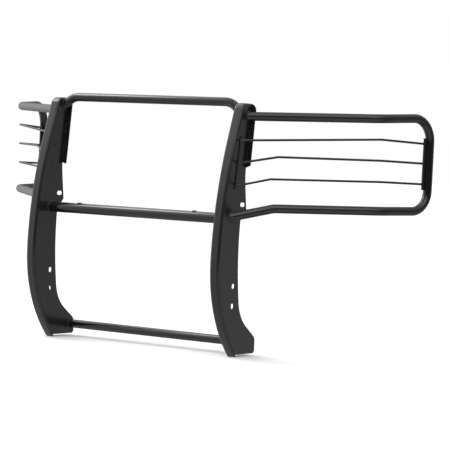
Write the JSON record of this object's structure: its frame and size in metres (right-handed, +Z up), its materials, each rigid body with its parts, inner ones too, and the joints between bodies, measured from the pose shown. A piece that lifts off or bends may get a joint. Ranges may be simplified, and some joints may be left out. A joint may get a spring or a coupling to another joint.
{
  "type": "front grille guard",
  "caption": "Truck front grille guard: curved channel uprights joined by round crossbars, with bent-tube headlight wings, each crossed by thin rods.",
  "frame": {"origin": "under the middle of the guard's bounding box, level with the lowest point of the uprights' tongues", "axes": "+Z up, +X to the right as seen from in front of the truck, -Y out of the front of the guard, +Y towards the truck; right and left in the node names are as seen from in front"},
  "size_m": [1.7928, 0.6675, 0.9119],
  "materials": {
    "coated_plate": "gloss black powder coat on bent steel plate",
    "coated_tube": "gloss black powder coat on round steel tube",
    "coated_rod": "gloss black powder coat on thin rod and flat bar",
    "plug": "satin black moulded plastic"
  },
  "bodies": {
    "root": {"right_upright": "coated_plate", "right_back_plate": "coated_plate", "right_wing_tube": "coated_tube", "right_wing_inner_bar": "coated_rod", "right_wing_outer_bar": "coated_rod", "right_wing_rod_upper": "coated_rod", "right_wing_rod_middle": "coated_rod", "right_wing_rod_lower": "coated_rod", "left_upright": "coated_plate", "left_back_plate": "coated_plate", "left_wing_tube": "coated_tube", "left_wing_inner_bar": "coated_rod", "left_wing_outer_bar": "coated_rod", "left_wing_rod_upper": "coated_rod", "left_wing_rod_middle": "coated_rod", "left_wing_rod_lower": "coated_rod", "top_crossbar": "coated_tube", "middle_crossbar": "coated_tube", "bottom_crossbar": "coated_tube", "lamp_hole_plugs": "plug"}
  },
  "joints": []
}
